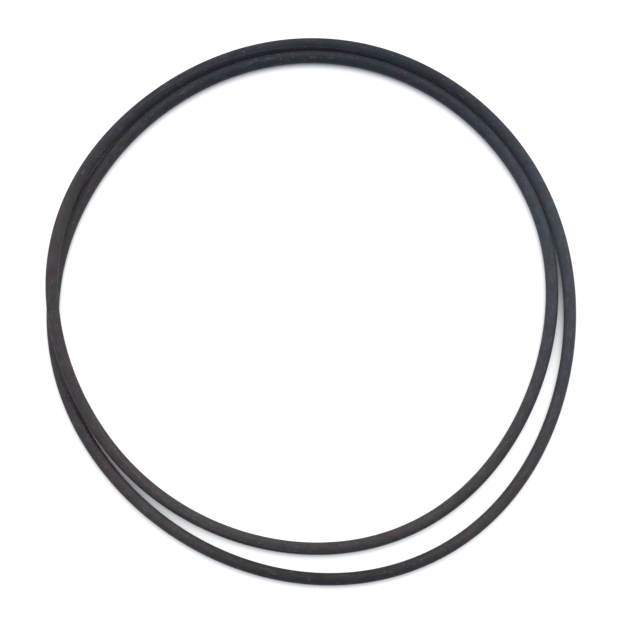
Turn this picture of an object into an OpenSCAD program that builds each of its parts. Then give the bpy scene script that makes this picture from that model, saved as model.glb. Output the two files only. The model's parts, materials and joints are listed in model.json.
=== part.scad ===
// Rubber O-ring, laid down doubled into two turns.
// The ring is one moulded loop of round cord. Wound twice, it lies flat with its turns side by side, parts
// into a crescent gap on one side, and opposite the gap one turn climbs over the other in a long low hump.
// The origin is on the surface under the middle of the coil's box, and +Z points up.

/* [Ring] */
// Inside diameter of the ring when it lies as a single circle
ring_inner_d = 430.66; // [350:0.01:600]
// Thickness of the round cord
cord_d = 5.33; // [4:0.01:7]

/* [Gap between the turns] */
// Play between the turns where they lie side by side
turn_play = 0.1; // [0.05:0.05:0.5]
// How much further apart the turns are at the middle of the crescent gap
gap_w = 9.2; // [2:0.1:14]
// Direction of the middle of the crescent gap, in degrees round the coil from +X
gap_at = 303; // [290:1:315]
// Arc from the middle of the crescent gap back to its tip beside the crossing, in degrees
gap_back = 111; // [80:1:115]
// Arc from the middle of the crescent gap on to its other tip, in degrees
gap_on = 86; // [70:1:105]

/* [Outline of the coil] */
// How far the coil stands out of a true circle at its two long ends
oval = 1; // [0:0.05:3]
// Direction of a long end, in degrees
oval_at = 116; // [90:1:140]
// How far the coil swells into three soft corners
swell_3 = 1.16; // [0:0.02:3]
// Direction of one of the three corners, in degrees
swell_3_at = 55; // [30:1:80]
// How far it swells into four soft corners beside those
swell_4 = 0.27; // [0:0.01:1.5]
// Direction of one of the four corners, in degrees
swell_4_at = 16; // [0:1:45]
// How far it swells into five soft corners beside those
swell_5 = 0.24; // [0:0.01:1]
// Direction of one of the five corners, in degrees
swell_5_at = 16; // [0:1:36]

/* [Crossing] */
// Direction of the place where one turn passes over the other, in degrees
cross_at = 177.5; // [165:0.5:190]
// Play between the upper and the lower cord where they cross
cross_play = 0.1; // [0.05:0.05:0.5]
// Length of cord that hangs clear of the surface, each way from the crossing
lift_run = 132; // [100:1:160]
// Part of the lifted run in which the turns change places
change_share = 0.59; // [0.45:0.01:0.61]

/* [Smoothness] */
// Flats round the cord
cord_sides = 24; // [12:4:24]
// Sections along each turn
turn_sections = 120; // [90:1:120]

/* [Hidden] */
cord_r = cord_d / 2;
two_turns = 720;
section_step = 360 / turn_sections;
// The loop has the same length doubled as it has as a single circle.
loop_len = PI * (ring_inner_d + cord_d);
// Number of corners, swell and direction of each wave in the coil's outline
waves = [
    [2, oval, oval_at],
    [3, swell_3, swell_3_at],
    [4, swell_4, swell_4_at],
    [5, swell_5, swell_5_at]
];

function total(v) = v * [for (x = v) 1];

// Angle from b to a, brought to between -180 and 180 degrees.
function turned(a, b) = let (t = (a - b) % 360) t > 180 ? t - 360 : t < -180 ? t + 360 : t;

// Rises from -1 to 1 while x does, and sets off and arrives with no slope or bend.
function ease(x) = let (c = max(-1, min(1, x))) (15 * c - 10 * pow(c, 3) + 3 * pow(c, 5)) / 8;

// Opening of the crescent gap, from 0 at its tips to 1 in its middle.
function gap_share(a) =
    let (
        off = turned(a, gap_at),
        reach = off < 0 ? gap_back : gap_on
    )
    abs(off) < reach ? pow(cos(90 * off / reach), 2) : 0;

// Outward offset of the cord from the middle of the coil: the first turn is outside before the crossing and
// inside after it, and the second turn the other way round.
function side_offset(a, coil_r) =
    let (
        apart = cord_d + turn_play + gap_w * gap_share(a),
        before = (a - cross_at + two_turns) % two_turns > 360,
        along = turned(a, cross_at) * coil_r * PI / 180
    )
    (before ? 1 : -1) * apart / 2 * abs(ease(along / (change_share * lift_run)));

// Radius of the middle of the coil, halfway between its turns.
function middle_r(a, coil_r) = coil_r + total([for (w = waves) w[1] * cos(w[0] * (a - w[2]))]);

// Shape of a beam that is lifted at one point and lies down again one lift_run away: 1 at the crossing.
function hump(x) = x < 1 ? pow(1 - x, 3) * (1 + 3 * x) : 0;

// Height of the cord's centre: the first turn climbs over the second one.
function cord_height(a, coil_r) =
    let (
        off = (a - cross_at + 3 * two_turns / 2) % two_turns - two_turns / 2,
        along = abs(off) * coil_r * PI / 180
    )
    cord_r + (cord_d + cross_play) * hump(along / lift_run);

// Point of the cord's centreline, a degrees along the two turns.
function centre(a, coil_r) =
    let (r = middle_r(a, coil_r) + side_offset(a, coil_r))
    [r * cos(a), r * sin(a), cord_height(a, coil_r)];

function centreline(coil_r) = [for (a = [0 : section_step : two_turns - section_step / 2]) centre(a, coil_r)];

function closed_len(path) = total([for (i = [0 : len(path) - 1]) norm(path[(i + 1) % len(path)] - path[i])]);

// Coil radius at which the two turns use up the loop's own length.
function fitted_r(coil_r, passes) =
    passes == 0 ? coil_r
    : fitted_r(coil_r + (loop_len - closed_len(centreline(coil_r))) / (4 * PI), passes - 1);

coil_r = fitted_r(loop_len / (4 * PI), 3);

function unit(v) = v / norm(v);

// Points of the round section across the cord at centreline point i. The section stands square to the cord.
function section(path, i) =
    let (
        n = len(path),
        along = unit(path[(i + 1) % n] - path[(i + n - 1) % n]),
        out = unit([along.y, -along.x, 0]),
        up = cross(out, along)
    )
    [for (k = [0 : cord_sides - 1])
        let (t = 360 * k / cord_sides)
        path[i] + cord_r * (cos(t) * out + sin(t) * up)];

// The closed tube: each section is joined to the next, and the last to the first.
module closed_cord(path) {
    n = len(path);
    skin = [for (i = [0 : n - 1]) each section(path, i)];
    xs = [for (p = skin) p.x];
    ys = [for (p = skin) p.y];
    faces = [
        for (i = [0 : n - 1])
            for (k = [0 : cord_sides - 1])
                let (
                    here = i * cord_sides,
                    there = (i + 1) % n * cord_sides,
                    next_k = (k + 1) % cord_sides
                )
                [here + k, here + next_k, there + next_k, there + k]
    ];
    translate([-(min(xs) + max(xs)) / 2, -(min(ys) + max(ys)) / 2, 0])
        polyhedron(points = skin, faces = faces, convexity = 6);
}

module o_ring() {
    color("#403f42")
        closed_cord(centreline(coil_r));
}

o_ring();
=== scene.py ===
import json
import math

import bpy
import numpy as np
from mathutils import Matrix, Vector


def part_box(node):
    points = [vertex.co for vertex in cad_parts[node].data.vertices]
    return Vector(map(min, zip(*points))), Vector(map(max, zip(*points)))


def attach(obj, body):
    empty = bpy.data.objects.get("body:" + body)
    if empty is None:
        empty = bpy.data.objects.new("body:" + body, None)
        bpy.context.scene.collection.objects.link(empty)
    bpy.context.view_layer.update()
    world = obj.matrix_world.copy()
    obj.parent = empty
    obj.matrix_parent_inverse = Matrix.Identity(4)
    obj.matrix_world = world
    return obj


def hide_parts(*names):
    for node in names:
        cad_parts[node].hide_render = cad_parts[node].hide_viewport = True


bl_info = {
    "name": "Doubled O-ring",
    "version": (1, 0, 0),
    "blender": (4, 5, 0),
    "location": "View3D > Sidebar > O-ring",
    "description": "Adds a rubber O-ring, laid down doubled into two turns, and a stage to show it on",
    "category": "Add Mesh",
}

MM = 0.001
DEGREE = math.pi / 180
FULL_TURN = 2 * math.pi
NODE = "o_ring"
BODY = "root"

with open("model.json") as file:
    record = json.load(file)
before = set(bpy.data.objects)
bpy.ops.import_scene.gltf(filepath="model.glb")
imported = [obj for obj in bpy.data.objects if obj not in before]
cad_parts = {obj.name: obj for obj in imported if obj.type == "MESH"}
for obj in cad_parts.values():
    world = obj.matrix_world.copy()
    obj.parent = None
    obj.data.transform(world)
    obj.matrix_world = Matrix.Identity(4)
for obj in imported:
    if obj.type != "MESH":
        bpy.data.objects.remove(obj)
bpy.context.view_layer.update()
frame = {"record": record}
SEAL_GROOVE = next(m for m in frame["record"]["mounts"] if m["name"] == "seal_groove")
CORD_D = 2 * MM * SEAL_GROOVE["dims"]["r_mm"]

# Places of a Mix node's sockets for colours
MIX_FACTOR = 0
MIX_A = 6
MIX_B = 7
MIX_RESULT = 2


# Colours and nodes

def linear(hex_colour):
    """Scene-linear RGBA of an sRGB hex colour such as "#2a2a2d"."""
    channels = [int(hex_colour[i:i + 2], 16) / 255 for i in (1, 3, 5)]
    return [c / 12.92 if c <= 0.04045 else ((c + 0.055) / 1.055) ** 2.4 for c in channels] + [1.0]


def tint(colour):
    """Hue of a colour at brightness 1, for a lamp whose strength is set by itself."""
    red, green, blue = colour[:3]
    brightness = 0.2126 * red + 0.7152 * green + 0.0722 * blue
    return [c / brightness for c in (red, green, blue)]


def add_node(tree, kind, settings=None, inputs=None):
    """Adds a node with its settings by name, and its inputs as plain values or as other nodes' outputs."""
    node = tree.nodes.new(kind)
    for name, value in (settings or {}).items():
        setattr(node, name, value)
    for socket, value in (inputs or {}).items():
        if isinstance(value, bpy.types.NodeSocket):
            tree.links.new(value, node.inputs[socket])
        else:
            node.inputs[socket].default_value = value
    return node


def colour_property(name, description, hex_colour):
    """A colour that a user can change, with its default from a hex value."""
    return bpy.props.FloatVectorProperty(
        name=name, description=description, default=linear(hex_colour),
        subtype="COLOR", size=4, min=0, max=1)


# Sizes and colours that a user would change

class RingSizes(bpy.types.PropertyGroup):
    """The ring as it comes from its mould."""

    inner_d: bpy.props.FloatProperty(
        name="Inner diameter",
        description="Inside diameter of the ring when it lies as a single circle",
        default=430.66 * MM, min=0.35, max=0.6, unit="LENGTH")
    cord_d: bpy.props.FloatProperty(
        name="Cord", description="Thickness of the round cord",
        default=CORD_D, min=0.004, max=0.007, unit="LENGTH")
    flash_h: bpy.props.FloatProperty(
        name="Flash height",
        description="How far the trimmed flash stands out where the mould's halves meet",
        default=0.045 * MM, min=0, max=0.0001, unit="LENGTH")
    flash_w: bpy.props.FloatProperty(
        name="Flash width", description="Width of the trimmed flash at its foot",
        default=0.26 * MM, min=0.0001, max=0.001, unit="LENGTH")
    swirl_run: bpy.props.FloatProperty(
        name="Swirl run",
        description="Length of cord over which the doubled ring takes up its one full turn of twist",
        default=126 * MM, min=0.03, max=0.2, unit="LENGTH")


class CoilLie(bpy.types.PropertyGroup):
    """The way in which the two turns lie."""

    turn_play: bpy.props.FloatProperty(
        name="Play between turns", description="Play between the turns where they lie side by side",
        default=0.1 * MM, min=0.00005, max=0.0005, unit="LENGTH")
    gap_w: bpy.props.FloatProperty(
        name="Gap", description="How much further apart the turns are at the middle of the crescent gap",
        default=9.2 * MM, min=0.002, max=0.014, unit="LENGTH")
    gap_at: bpy.props.FloatProperty(
        name="Gap direction", description="Direction of the middle of the gap, round the coil from +X",
        default=303 * DEGREE, subtype="ANGLE")
    gap_back: bpy.props.FloatProperty(
        name="Gap back", description="Arc from the middle of the gap back to its tip beside the crossing",
        default=111 * DEGREE, subtype="ANGLE")
    gap_on: bpy.props.FloatProperty(
        name="Gap on", description="Arc from the middle of the gap on to its other tip",
        default=86 * DEGREE, subtype="ANGLE")
    oval: bpy.props.FloatProperty(
        name="Oval", description="How far the coil stands out of a true circle at its two long ends",
        default=1 * MM, min=0, max=0.003, unit="LENGTH")
    oval_at: bpy.props.FloatProperty(
        name="Oval direction", description="Direction of a long end",
        default=116 * DEGREE, subtype="ANGLE")
    swell_3: bpy.props.FloatProperty(
        name="Three corners", description="How far the coil swells into three soft corners",
        default=1.16 * MM, min=0, max=0.003, unit="LENGTH")
    swell_3_at: bpy.props.FloatProperty(
        name="Three corners direction", description="Direction of one of the three corners",
        default=55 * DEGREE, subtype="ANGLE")
    swell_4: bpy.props.FloatProperty(
        name="Four corners", description="How far it swells into four soft corners beside those",
        default=0.27 * MM, min=0, max=0.0015, unit="LENGTH")
    swell_4_at: bpy.props.FloatProperty(
        name="Four corners direction", description="Direction of one of the four corners",
        default=16 * DEGREE, subtype="ANGLE")
    swell_5: bpy.props.FloatProperty(
        name="Five corners", description="How far it swells into five soft corners beside those",
        default=0.24 * MM, min=0, max=0.001, unit="LENGTH")
    swell_5_at: bpy.props.FloatProperty(
        name="Five corners direction", description="Direction of one of the five corners",
        default=16 * DEGREE, subtype="ANGLE")
    cross_at: bpy.props.FloatProperty(
        name="Crossing direction",
        description="Direction of the place where one turn passes over the other",
        default=177.5 * DEGREE, subtype="ANGLE")
    cross_play: bpy.props.FloatProperty(
        name="Play at the crossing",
        description="Play between the upper and the lower cord where they cross",
        default=0.1 * MM, min=0.00005, max=0.0005, unit="LENGTH")
    lift_run: bpy.props.FloatProperty(
        name="Lifted run",
        description="Length of cord that hangs clear of the floor, each way from the crossing",
        default=132 * MM, min=0.1, max=0.16, unit="LENGTH")
    change_share: bpy.props.FloatProperty(
        name="Change of places", description="Part of the lifted run in which the turns change places",
        default=0.59, min=0.45, max=0.61)


class RubberLook(bpy.types.PropertyGroup):
    """Colours of the rubber and of what lies on it. The side colours are painted light and shade."""

    # Painted light and shade: the near, far, right and left colours stand in for how light falls on each
    # side of the coil
    near: colour_property("Near side", "Black rubber with little bloom", "#232227")
    far: colour_property("Far side", "Black rubber with little bloom, which leans to blue", "#22262f")
    right_light: colour_property("Bloom", "Grey bloom toward the far right of the coil", "#3f434c")
    warm_left_light: colour_property("Handled", "Film toward the near left, where the coil was held", "#3e393b")
    # Grey of dust and torn rubber. In the groove the same grey is painted light that lifts the shade
    dust_and_groove_light: colour_property("Dust", "Dust in specks and in the groove, and torn rubber", "#8c8e91")


class StageLook(bpy.types.PropertyGroup):
    """Floor, lamps and camera."""

    floor: colour_property("Floor", "Colour that the floor gives the light it throws back", "#a6a6a6")
    key_share: bpy.props.FloatProperty(
        name="Key", description="Light on the floor from the row of windows, where 1 lights it fully",
        default=0.5, min=0, max=1)
    fill_share: bpy.props.FloatProperty(
        name="Fill", description="Light on the floor from all round", default=0.5, min=0, max=1)
    key_hue: colour_property("Key hue", "Hue of the windows' light", "#fff9e5")
    fill_hue: colour_property("Fill hue", "Hue of the room's light", "#dfeaff")
    key_height: bpy.props.FloatProperty(
        name="Key height", description="Angle of the windows above the floor",
        default=34 * DEGREE, subtype="ANGLE")
    key_at: bpy.props.FloatProperty(
        name="Key direction",
        description="Direction of the windows' middle, from the far side to the right",
        default=10 * DEGREE, subtype="ANGLE")
    camera_far: bpy.props.FloatProperty(
        name="Camera distance", description="Height of the camera over the middle of the cord",
        default=850 * MM, min=0.3, max=2, unit="LENGTH")
    view_w: bpy.props.FloatProperty(
        name="View width", description="Width of the view at the middle of the cord",
        default=273.6 * MM, min=0.2, max=0.6, unit="LENGTH")
    view_x: bpy.props.FloatProperty(
        name="View to the right", description="How far the view's middle lies to the right of the coil's",
        default=3.715 * MM, unit="LENGTH")
    view_y: bpy.props.FloatProperty(
        name="View to the far side", description="How far the view's middle lies beyond the coil's",
        default=-3.523 * MM, unit="LENGTH")


# The doubled loop's path

SECTIONS = 1440
CORD_SIDES = 48
# After so many passes the loop's length is right to a hair
FIT_PASSES = 3


def turned(angle, start):
    """Angle from start to angle, brought to within half a turn either way."""
    return (angle - start + math.pi) % FULL_TURN - math.pi


def ease(x):
    """Rises from -1 to 1 while x does, and sets off and arrives with no slope or bend."""
    c = np.clip(x, -1, 1)
    return (15 * c - 10 * c ** 3 + 3 * c ** 5) / 8


def gap_share(angle, lie):
    """Opening of the crescent gap, from 0 at its tips to 1 in its middle."""
    off = turned(angle, lie.gap_at)
    share = off / np.where(off < 0, lie.gap_back, lie.gap_on)
    return np.cos(math.pi / 2 * np.clip(share, -1, 1)) ** 2


def side_offset(angle, coil_r, sizes, lie):
    """Outward offset of the cord: the first turn is outside before the crossing and inside after it."""
    apart = sizes.cord_d + lie.turn_play + lie.gap_w * gap_share(angle, lie)
    before = (angle - lie.cross_at) % (2 * FULL_TURN) > FULL_TURN
    along = turned(angle, lie.cross_at) * coil_r
    return np.where(before, 1, -1) * apart / 2 * abs(ease(along / (lie.change_share * lie.lift_run)))


def middle_r(angle, coil_r, lie):
    """Radius of the middle of the coil, halfway between its turns."""
    waves = ((2, lie.oval, lie.oval_at), (3, lie.swell_3, lie.swell_3_at),
             (4, lie.swell_4, lie.swell_4_at), (5, lie.swell_5, lie.swell_5_at))
    return coil_r + sum(swell * np.cos(corners * (angle - at)) for corners, swell, at in waves)


def run_from_crossing(angle, coil_r, lie):
    """Length of cord from the crossing's upper turn, negative before it."""
    return ((angle - lie.cross_at + FULL_TURN) % (2 * FULL_TURN) - FULL_TURN) * coil_r


def centreline(angle, coil_r, sizes, lie):
    """Points of the cord's centre. The first turn climbs over the second as a beam does that is lifted at
    one point."""
    r = middle_r(angle, coil_r, lie) + side_offset(angle, coil_r, sizes, lie)
    x = np.minimum(abs(run_from_crossing(angle, coil_r, lie)) / lie.lift_run, 1)
    lift = (sizes.cord_d + lie.cross_play) * (1 - x) ** 3 * (1 + 3 * x)
    return np.stack([r * np.cos(angle), r * np.sin(angle), sizes.cord_d / 2 + lift], axis=1)


def closed_length(path):
    """Length of a closed path."""
    return np.linalg.norm(np.roll(path, -1, axis=0) - path, axis=1).sum()


def fitted_coil_r(angle, sizes, lie):
    """Coil radius at which the two turns use up the ring's own length."""
    loop_length = math.pi * (sizes.inner_d + sizes.cord_d)
    coil_r = loop_length / (2 * FULL_TURN)
    for _ in range(FIT_PASSES):
        coil_r += (loop_length - closed_length(centreline(angle, coil_r, sizes, lie))) / (2 * FULL_TURN)
    return coil_r


# The cord round that path

def section_of(sizes):
    """Angles and radii of the points round the cord, from its outside in the mould, with a ridge of flash
    where the mould's halves meet, at the ring's outside and inside diameters."""
    foot = sizes.flash_w / sizes.cord_d
    angles = list(np.arange(CORD_SIDES) * FULL_TURN / CORD_SIDES)
    for ridge in (0, math.pi):
        angles += [ridge - foot, ridge + foot]
    angles = np.sort(np.array(angles) % FULL_TURN)
    on_ridge = np.isclose(np.sin(angles), 0, atol=foot / 2)
    radii = np.where(on_ridge, sizes.cord_d / 2 + sizes.flash_h, sizes.cord_d / 2)
    return angles, radii


def swirl(run, sizes):
    """Turn of the section along the cord. A ring laid double has one full turn of twist. Its moulded bend
    keeps most of it near one place, and the rest of the cord lies with its flash at the coil's outside and
    inside."""
    kink = np.arctan(np.exp(run / sizes.swirl_run))
    return FULL_TURN * (kink - kink.min()) / (kink.max() - kink.min())


def unit(vectors):
    """Vectors of length 1."""
    return vectors / np.linalg.norm(vectors, axis=1, keepdims=True)


def cord_skin(sizes, lie):
    """Points of the cord's skin, section by section, with each point's place in the mould and how much it
    lies in the groove."""
    angle = np.arange(SECTIONS) * 2 * FULL_TURN / SECTIONS
    coil_r = fitted_coil_r(angle, sizes, lie)
    path = centreline(angle, coil_r, sizes, lie)
    forward = unit(np.roll(path, -1, axis=0) - np.roll(path, 1, axis=0))
    out = unit(np.stack([forward[:, 1], -forward[:, 0], np.zeros(SECTIONS)], axis=1))
    up = np.cross(out, forward)
    around, radii = section_of(sizes)
    lay = around[None, :] - swirl(run_from_crossing(angle, coil_r, lie), sizes)[:, None]
    outward = np.cos(lay)[..., None] * out[:, None, :] + np.sin(lay)[..., None] * up[:, None, :]
    skin = path[:, None, :] + radii[None, :, None] * outward
    low, high = skin.min(axis=(0, 1)), skin.max(axis=(0, 1))
    skin[..., :2] -= (low + high)[:2] / 2
    skin[..., 2] = np.maximum(skin[..., 2], 0)
    return skin, mould_places(angle / 2, around, sizes), groove_shares(path, outward, sizes)


# The groove reaches round each cord to where the cosine of the angle from the touching line is this, and it
# ends where the turns are this far apart
GROOVE_EDGE = 0.8
GROOVE_APART = 1 * MM


def groove_shares(path, outward, sizes):
    """How much each skin point lies in the groove where the two turns touch, from 0 to 1."""
    to_other = np.roll(path, SECTIONS // 2, axis=0) - path
    apart = np.linalg.norm(to_other, axis=1) - sizes.cord_d
    touching = np.clip(1 - apart / GROOVE_APART, 0, 1)
    facing = (outward * unit(to_other)[:, None, :]).sum(axis=2)
    return np.clip((facing - GROOVE_EDGE) / (1 - GROOVE_EDGE), 0, 1) * touching[:, None]


# How much longer than wide a pattern in the mould's places comes out
DRAW_OUT = 4


def mould_places(round_mould, around, sizes):
    """Place of each skin point on the ring as it was moulded, with the mould's circle made DRAW_OUT times
    smaller, so that a pattern read there is drawn out lengthwise on the ring, with no join."""
    circle_r = (sizes.inner_d + sizes.cord_d) / 2 / DRAW_OUT
    from_axis = circle_r + sizes.cord_d / 2 * np.cos(around)[None, :]
    x = from_axis * np.cos(round_mould)[:, None]
    y = from_axis * np.sin(round_mould)[:, None]
    z = np.broadcast_to(sizes.cord_d / 2 * np.sin(around)[None, :], x.shape)
    return np.stack([x, y, z], axis=2)


def tube_faces(rings, sides):
    """Four-sided faces of a closed tube, with their fronts outside."""
    here, k = np.meshgrid(np.arange(rings), np.arange(sides), indexing="ij")
    there, next_k = (here + 1) % rings, (k + 1) % sides
    corners = (here * sides + k, there * sides + k, there * sides + next_k, here * sides + next_k)
    return np.stack(corners, axis=2).reshape(-1, 4)


def ring_mesh(sizes, lie):
    """The closed, smooth-shaded skin of the ring."""
    skin, places, grooves = cord_skin(sizes, lie)
    mesh = bpy.data.meshes.new("o_ring_cord")
    mesh.from_pydata(skin.reshape(-1, 3).tolist(), [], tube_faces(*skin.shape[:2]).tolist())
    mesh.shade_smooth()
    place = mesh.attributes.new("mould_place", "FLOAT_VECTOR", "POINT")
    place.data.foreach_set("vector", places.astype(np.float32).ravel())
    groove = mesh.attributes.new("groove", "FLOAT", "POINT")
    groove.data.foreach_set("value", grooves.astype(np.float32).ravel())
    if mesh.validate():
        raise RuntimeError("the ring's mesh has faulty faces")
    return mesh


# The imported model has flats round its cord, so the two boxes differ by a hair
BOX_SLACK = 0.15 * MM


def check_against_frame(ring):
    """Stops the script if the ring isn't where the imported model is."""
    for corner, packed in zip((min, max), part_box(NODE)):
        mine = [corner(v[axis] for v in ring.bound_box) for axis in range(3)]
        if any(abs(a - b) > BOX_SLACK for a, b in zip(mine, packed)):
            raise RuntimeError(f"the ring reaches {mine} where the packed model reaches {list(packed)}")


# Rubber

# Blotches of grey bloom
BLOTCH = 5 * MM
# Smears, 3 mm long, as the ring leaves its mould and is wiped along
SMEAR_W = 0.7 * MM
# Grain of the blasted mould: about 0.05 mm, drawn coarser because finer grain doesn't show
GRAIN = 0.45 * MM
# Shares of blotches and grain beside smears, and the low and high ends of the film that they add up to
BLOTCH_SHARE = 0.8
GRAIN_SHARE = 0.6
FILM_ENDS = {"From Min": 0.9, "From Max": 1.5}

# Patches of wax and oil in the skin, and what they leave and add of red, green and blue
OIL_PATCH = 9 * MM
OIL_LEAST = (0.77, 0.87, 0.73)
OIL_ADDS = (0.46, 0.26, 0.56)

# Dust specks, about one to 20 square millimetres of what faces up
SPECK_R = 0.3 * MM
SPECK_CELL = 2.2 * MM
# Spacing of the rubbed streaks' pattern. The streaks are about 0.6 mm wide and 2.4 mm long
RUB_W = 1.1 * MM
# How much of the skin's colour each kind of dust takes at most, and the painted light that lifts the shade
# in the groove
SPECK_COVER = 0.35
GROOVE_LIGHT = 0.34
RUBBED_COVER = 0.1
FLASH_COVER = 0.1

# Pits that trapped air leaves, and how much of the skin's colour is left in their middle, as painted shade
PIT_R = 0.3 * MM
PIT_CELL = 1.9 * MM
PIT_SHADE = 0.35
RELIEF = 0.06 * MM
NITRILE_IOR = 1.52

# Where the colour of a side starts and where it is full: from the far right to the near left, and from the
# middle to the far side and to the near side
LEFT_SIDE = {"From Min": 100 * MM, "From Max": 10 * MM}
FAR = {"From Min": 27 * MM, "From Max": 113 * MM}
NEAR = {"From Min": -88 * MM, "From Max": -122 * MM}


def painted_light_by_side(tree, place, look):
    """Colour of the skin by the side of the coil, as painted light and shade: lighter and bluer at the
    right, lighter and warmer at the left, darker on the near side, and darker and bluer on the far side."""
    slant = add_node(tree, "ShaderNodeVectorMath", {"operation": "DOT_PRODUCT"}, {
        0: place, 1: (math.sqrt(0.5), math.sqrt(0.5), 0)}).outputs["Value"]
    away = add_node(tree, "ShaderNodeSeparateXYZ", {}, {"Vector": place}).outputs["Y"]
    colour = look.right_light
    for rise, along, ends, change in (
            ("LINEAR", slant, LEFT_SIDE, look.warm_left_light),
            ("SMOOTHSTEP", away, FAR, look.far),
            ("SMOOTHSTEP", away, NEAR, look.near)):
        share = add_node(tree, "ShaderNodeMapRange", {"interpolation_type": rise}, {
            "Value": along, **ends}).outputs["Result"]
        colour = add_node(tree, "ShaderNodeMix", {"data_type": "RGBA"}, {
            MIX_FACTOR: share, MIX_A: colour, MIX_B: change}).outputs[MIX_RESULT]
    return colour


def with_oil(tree, place, colour):
    """Colour with patches of 2 to 9 mm that lean to blue or purple, from wax and oil in the skin."""
    oil = add_node(tree, "ShaderNodeTexNoise", {}, {
        "Vector": place, "Scale": 1 / OIL_PATCH, "Detail": 3.0, "Roughness": 0.6}).outputs["Color"]
    gain = add_node(tree, "ShaderNodeVectorMath", {"operation": "MULTIPLY_ADD"}, {
        0: oil, 1: OIL_ADDS, 2: OIL_LEAST}).outputs["Vector"]
    return add_node(tree, "ShaderNodeVectorMath", {"operation": "MULTIPLY"}, {
        0: colour, 1: gain}).outputs["Vector"]


def dust_and_groove_light_share(tree, place, mould, sizes):
    """Share of the skin's colour that the dusty grey takes: the trimmed flash, a little greyer than the
    moulded skin, dusty specks on what faces up, rubbed streaks, and painted light that lifts the shade in
    the groove where the turns touch."""
    from_parting = add_node(tree, "ShaderNodeMath", {"operation": "ABSOLUTE"}, {
        0: add_node(tree, "ShaderNodeSeparateXYZ", {}, {"Vector": mould}).outputs["Z"]}).outputs["Value"]
    flash = add_node(tree, "ShaderNodeMapRange", {}, {
        "Value": from_parting, "From Min": sizes.flash_w, "From Max": sizes.flash_w / 4,
        "To Max": FLASH_COVER}).outputs["Result"]

    specks = add_node(tree, "ShaderNodeTexVoronoi", {}, {
        "Vector": place, "Scale": 1 / SPECK_CELL}).outputs["Distance"]
    speck = add_node(tree, "ShaderNodeMapRange", {}, {
        "Value": specks, "From Min": SPECK_R / SPECK_CELL, "From Max": SPECK_R / SPECK_CELL / 2,
        "To Max": SPECK_COVER}).outputs["Result"]
    up = add_node(tree, "ShaderNodeSeparateXYZ", {}, {
        "Vector": add_node(tree, "ShaderNodeNewGeometry").outputs["Normal"]}).outputs["Z"]
    facing_up = add_node(tree, "ShaderNodeMapRange", {}, {
        "Value": up, "From Min": -0.1, "From Max": 0.5}).outputs["Result"]
    speck = add_node(tree, "ShaderNodeMath", {"operation": "MULTIPLY"}, {
        0: speck, 1: facing_up}).outputs["Value"]
    share = add_node(tree, "ShaderNodeMath", {"operation": "MAXIMUM"}, {
        0: speck, 1: flash}).outputs["Value"]

    # Painted light: the grey is laid into the groove where the turns touch, lifting its shade
    groove = add_node(tree, "ShaderNodeAttribute", {"attribute_name": "groove"}).outputs["Fac"]
    share = add_node(tree, "ShaderNodeMath", {"operation": "MULTIPLY_ADD", "use_clamp": True}, {
        0: groove, 1: GROOVE_LIGHT, 2: share}).outputs["Value"]

    rubbed = add_node(tree, "ShaderNodeTexNoise", {}, {
        "Vector": mould, "Scale": 1 / RUB_W, "Detail": 0.0}).outputs["Fac"]
    rubbed = add_node(tree, "ShaderNodeMapRange", {"interpolation_type": "SMOOTHSTEP"}, {
        "Value": rubbed, "From Min": 0.7, "From Max": 0.85, "To Max": RUBBED_COVER}).outputs["Result"]
    return add_node(tree, "ShaderNodeMath", {"operation": "MAXIMUM"}, {
        0: share, 1: rubbed}).outputs["Value"]


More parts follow.
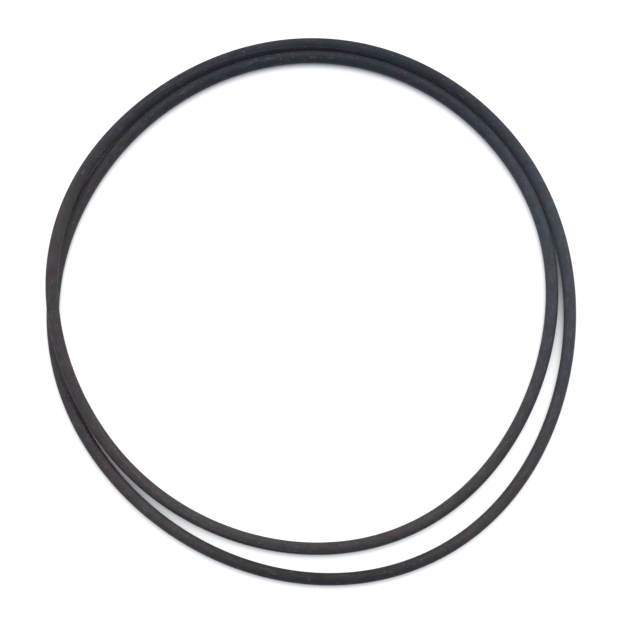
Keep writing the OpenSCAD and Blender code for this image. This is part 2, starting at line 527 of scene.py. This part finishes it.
def moulded_nitrile_rubber(look, sizes):
    """Nitrile rubber pressed in a blasted steel mould. It is black and dull, and rough enough to spread
    every highlight. A grey film of wax lies on it, in blotches and smears, with dusty specks and small
    pits. Its colour also carries painted light and shade by side of the coil, painted light in the groove
    and painted shade in the pits."""
    material = bpy.data.materials.new("moulded_nitrile_rubber")
    material.use_nodes = True
    tree = material.node_tree
    tree.nodes.clear()
    place = add_node(tree, "ShaderNodeTexCoord").outputs["Object"]
    mould = add_node(tree, "ShaderNodeAttribute", {"attribute_name": "mould_place"}).outputs["Vector"]

    blotches = add_node(tree, "ShaderNodeTexNoise", {}, {
        "Vector": place, "Scale": 1 / BLOTCH, "Detail": 2.0, "Roughness": 0.55}).outputs["Fac"]
    smears = add_node(tree, "ShaderNodeTexNoise", {}, {
        "Vector": mould, "Scale": 1 / SMEAR_W, "Detail": 2.0, "Roughness": 0.5}).outputs["Fac"]
    grain = add_node(tree, "ShaderNodeTexNoise", {}, {
        "Vector": place, "Scale": 1 / GRAIN, "Detail": 3.0, "Roughness": 0.6}).outputs["Fac"]
    film = add_node(tree, "ShaderNodeMath", {"operation": "MULTIPLY_ADD"}, {
        0: blotches, 1: BLOTCH_SHARE, 2: smears}).outputs["Value"]
    film = add_node(tree, "ShaderNodeMath", {"operation": "MULTIPLY_ADD"}, {
        0: grain, 1: GRAIN_SHARE, 2: film}).outputs["Value"]

    # Blotches, smears and grain lighten and darken the skin by up to a fifth
    film_gain = add_node(tree, "ShaderNodeMapRange", {}, {
        "Value": film, **FILM_ENDS, "To Min": 0.78, "To Max": 1.22}).outputs["Result"]
    colour = add_node(tree, "ShaderNodeVectorMath", {"operation": "SCALE"}, {
        "Vector": painted_light_by_side(tree, place, look), "Scale": film_gain}).outputs["Vector"]
    colour = add_node(tree, "ShaderNodeMix", {"data_type": "RGBA"}, {
        MIX_FACTOR: dust_and_groove_light_share(tree, place, mould, sizes), MIX_A: with_oil(tree, place, colour),
        MIX_B: look.dust_and_groove_light}).outputs[MIX_RESULT]

    # Depth of the pits, as -1 in their middle and 0 outside them
    pits = add_node(tree, "ShaderNodeTexVoronoi", {}, {
        "Vector": place, "Scale": 1 / PIT_CELL}).outputs["Distance"]
    pit_depth = add_node(tree, "ShaderNodeMapRange", {}, {
        "Value": pits, "From Max": PIT_R / PIT_CELL, "To Min": -1.0, "To Max": 0.0}).outputs["Result"]
    # Painted shade: the colour darkens toward the middle of each pit
    pit_shade_gain = add_node(tree, "ShaderNodeMapRange", {}, {
        "Value": pit_depth, "From Min": -0.6, "From Max": 0.0, "To Min": PIT_SHADE}).outputs["Result"]
    colour = add_node(tree, "ShaderNodeVectorMath", {"operation": "SCALE"}, {
        "Vector": colour, "Scale": pit_shade_gain}).outputs["Vector"]

    relief = add_node(tree, "ShaderNodeMath", {"operation": "MULTIPLY_ADD"}, {
        0: grain, 1: GRAIN_SHARE, 2: smears}).outputs["Value"]
    relief = add_node(tree, "ShaderNodeMath", {"operation": "ADD"}, {
        0: relief, 1: pit_depth}).outputs["Value"]
    bump = add_node(tree, "ShaderNodeBump", {}, {
        "Height": relief, "Strength": 0.35, "Distance": RELIEF}).outputs["Normal"]

    # Film makes the skin a little smoother here and there
    roughness = add_node(tree, "ShaderNodeMapRange", {}, {
        "Value": film, **FILM_ENDS, "To Min": 0.7, "To Max": 0.55}).outputs["Result"]
    shader = add_node(tree, "ShaderNodeBsdfPrincipled", {}, {
        "Base Color": colour, "Roughness": roughness, "Normal": bump,
        "IOR": NITRILE_IOR, "Specular IOR Level": 0.2})
    add_node(tree, "ShaderNodeOutputMaterial", {}, {"Surface": shader.outputs["BSDF"]})
    return material


# Stage

FLOOR_HALF = 8.0
# The card's own light, and the share of the lamps' light that it shows. Together they are white in the open
SEEN_BASE = 0.7
SHADE_DEPTH = 0.6
# The card's own light is held back this near to the cord. It is gone where the cord leaves this little of
# the view open toward the windows, and full where it leaves this much
SHADE_REACH = 5 * MM
OPEN_ENDS = {"From Min": 0.3, "From Max": 0.66}


def direction(at, height):
    """Unit vector to a place at an angle from the far side round to the right, and at a height above the
    floor."""
    across = math.cos(height)
    return Vector((across * math.sin(at), across * math.cos(at), math.sin(height)))


def seen_directly(tree):
    """1 where the camera looks, by itself or through a mirror or glass, and 0 for light on its way."""
    path = add_node(tree, "ShaderNodeLightPath")
    mirrored = add_node(tree, "ShaderNodeMath", {"operation": "ADD"}, {
        0: path.outputs["Is Camera Ray"], 1: path.outputs["Is Glossy Ray"]}).outputs["Value"]
    return add_node(tree, "ShaderNodeMath", {"operation": "ADD", "use_clamp": True}, {
        0: mirrored, 1: path.outputs["Is Transmission Ray"]}).outputs["Value"]


def matt_white_card(look):
    """Matt white card. Its own light shows as white where it is seen, and its shade keeps the ring's
    shadow. The light that it throws back on the ring has the floor's colour."""
    material = bpy.data.materials.new("matt_white_card")
    material.use_nodes = True
    tree = material.node_tree
    tree.nodes.clear()
    card = add_node(tree, "ShaderNodeBsdfDiffuse", {}, {"Color": look.floor}).outputs["BSDF"]
    shade = add_node(tree, "ShaderNodeBsdfDiffuse", {}, {
        "Color": (SHADE_DEPTH, SHADE_DEPTH, SHADE_DEPTH, 1.0)}).outputs["BSDF"]

    # Its own light is held back mostly on the side of the cord away from the windows, which paints a shadow
    # beside the cord
    lit_from = (direction(look.key_at, look.key_height) + Vector((0, 0, 1))).normalized()
    normal = add_node(tree, "ShaderNodeCombineXYZ", {}, dict(zip("XYZ", lit_from))).outputs["Vector"]
    in_the_open = add_node(tree, "ShaderNodeAmbientOcclusion", {"samples": 16}, {
        "Distance": SHADE_REACH, "Normal": normal}).outputs["AO"]
    strength = add_node(tree, "ShaderNodeMapRange", {}, {
        "Value": in_the_open, **OPEN_ENDS, "To Max": SEEN_BASE}).outputs["Result"]
    glow = add_node(tree, "ShaderNodeEmission", {}, {"Strength": strength}).outputs["Emission"]
    seen = add_node(tree, "ShaderNodeAddShader", {}, {0: shade, 1: glow}).outputs["Shader"]
    surface = add_node(tree, "ShaderNodeMixShader", {}, {
        0: seen_directly(tree), 1: card, 2: seen}).outputs["Shader"]
    add_node(tree, "ShaderNodeOutputMaterial", {}, {"Surface": surface})
    return material


def add_floor(look):
    """A square of floor, far larger than any view of the ring."""
    mesh = bpy.data.meshes.new("floor")
    corners = [(x * FLOOR_HALF, y * FLOOR_HALF, 0) for x, y in ((-1, -1), (1, -1), (1, 1), (-1, 1))]
    mesh.from_pydata(corners, [], [(0, 1, 2, 3)])
    mesh.materials.append(matt_white_card(look))
    floor = bpy.data.objects.new("floor", mesh)
    bpy.context.collection.objects.link(floor)


def add_world(look):
    """Even light from all round, and plain white where it is seen."""
    world = bpy.data.worlds.new("white_room")
    bpy.context.scene.world = world
    world.use_nodes = True
    tree = world.node_tree
    tree.nodes.clear()
    fill = add_node(tree, "ShaderNodeBackground", {}, {
        "Color": (*tint(look.fill_hue), 1.0), "Strength": look.fill_share}).outputs["Background"]
    white = add_node(tree, "ShaderNodeBackground", {}, {
        "Color": (1.0, 1.0, 1.0, 1.0), "Strength": 1.0}).outputs["Background"]
    surface = add_node(tree, "ShaderNodeMixShader", {}, {
        0: seen_directly(tree), 1: fill, 2: white}).outputs["Shader"]
    add_node(tree, "ShaderNodeOutputWorld", {}, {"Surface": surface})


# A row of windows along the far side: four soft lamps side by side
KEY_SPREAD = (-75 * DEGREE, -25 * DEGREE, 15 * DEGREE, 55 * DEGREE)
KEY_SOFTNESS = 34 * DEGREE


def add_key(look):
    """The windows' lamps, which together give the floor its key share of light."""
    for number, aside in enumerate(KEY_SPREAD):
        lamp = bpy.data.lights.new(f"window_{number}", "SUN")
        lamp.angle = KEY_SOFTNESS
        lamp.color = tint(look.key_hue)
        lamp.energy = math.pi * look.key_share / len(KEY_SPREAD) / math.sin(look.key_height)
        light = bpy.data.objects.new(lamp.name, lamp)
        towards = direction(look.key_at + aside, look.key_height)
        light.rotation_euler = towards.to_track_quat("Z", "Y").to_euler()
        bpy.context.collection.objects.link(light)


def add_camera(look, cord_d):
    """Looks straight down, with the far side at the top of the picture."""
    camera = bpy.data.cameras.new("camera")
    camera.lens = camera.sensor_width * look.camera_far / look.view_w
    eye = bpy.data.objects.new("camera", camera)
    eye.location = (look.view_x, look.view_y, cord_d / 2 + look.camera_far)
    bpy.context.collection.objects.link(eye)
    bpy.context.scene.camera = eye


# Operators and their panel

class O_RING_OT_add_ring(bpy.types.Operator):
    """Add the moulded rubber ring, laid down doubled"""

    bl_idname = "o_ring.add_ring"
    bl_label = "Doubled O-ring"
    bl_options = {"REGISTER", "UNDO"}

    def execute(self, context):
        sizes = context.scene.o_ring_sizes
        ring = bpy.data.objects.new("doubled_o_ring", ring_mesh(sizes, context.scene.o_ring_lie))
        ring.data.materials.append(moulded_nitrile_rubber(context.scene.o_ring_look, sizes))
        context.collection.objects.link(ring)
        check_against_frame(ring)
        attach(ring, BODY)
        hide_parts(NODE)
        return {"FINISHED"}


class O_RING_OT_add_stage(bpy.types.Operator):
    """Add the pale floor, the window light and the camera over the ring"""

    bl_idname = "o_ring.add_stage"
    bl_label = "Stage"
    bl_options = {"REGISTER", "UNDO"}

    def execute(self, context):
        look = context.scene.o_ring_stage
        context.scene.view_settings.view_transform = "Standard"
        add_world(look)
        add_floor(look)
        add_key(look)
        add_camera(look, context.scene.o_ring_sizes.cord_d)
        return {"FINISHED"}


class O_RING_PT_sidebar(bpy.types.Panel):
    """The ring's sizes and the buttons that add it and its stage"""

    bl_label = "Doubled O-ring"
    bl_idname = "O_RING_PT_sidebar"
    bl_space_type = "VIEW_3D"
    bl_region_type = "UI"
    bl_category = "O-ring"

    def draw(self, context):
        for name in GROUPS:
            box = self.layout.box()
            group = getattr(context.scene, name)
            for key in group.__annotations__:
                box.prop(group, key)
        self.layout.operator(O_RING_OT_add_stage.bl_idname)
        self.layout.operator(O_RING_OT_add_ring.bl_idname)


GROUPS = {
    "o_ring_sizes": RingSizes,
    "o_ring_lie": CoilLie,
    "o_ring_look": RubberLook,
    "o_ring_stage": StageLook,
}
CLASSES = (*GROUPS.values(), O_RING_OT_add_stage, O_RING_OT_add_ring, O_RING_PT_sidebar)


def register():
    """Makes the classes and the scene's properties known to Blender."""
    for cls in CLASSES:
        bpy.utils.register_class(cls)
    for name, group in GROUPS.items():
        setattr(bpy.types.Scene, name, bpy.props.PointerProperty(type=group))


def unregister():
    """Takes them out again."""
    for name in GROUPS:
        delattr(bpy.types.Scene, name)
    for cls in reversed(CLASSES):
        bpy.utils.unregister_class(cls)


def main():
    """Builds the stage and the ring."""
    register()
    bpy.ops.o_ring.add_stage()
    bpy.ops.o_ring.add_ring()


if __name__ == "__main__":
    main()
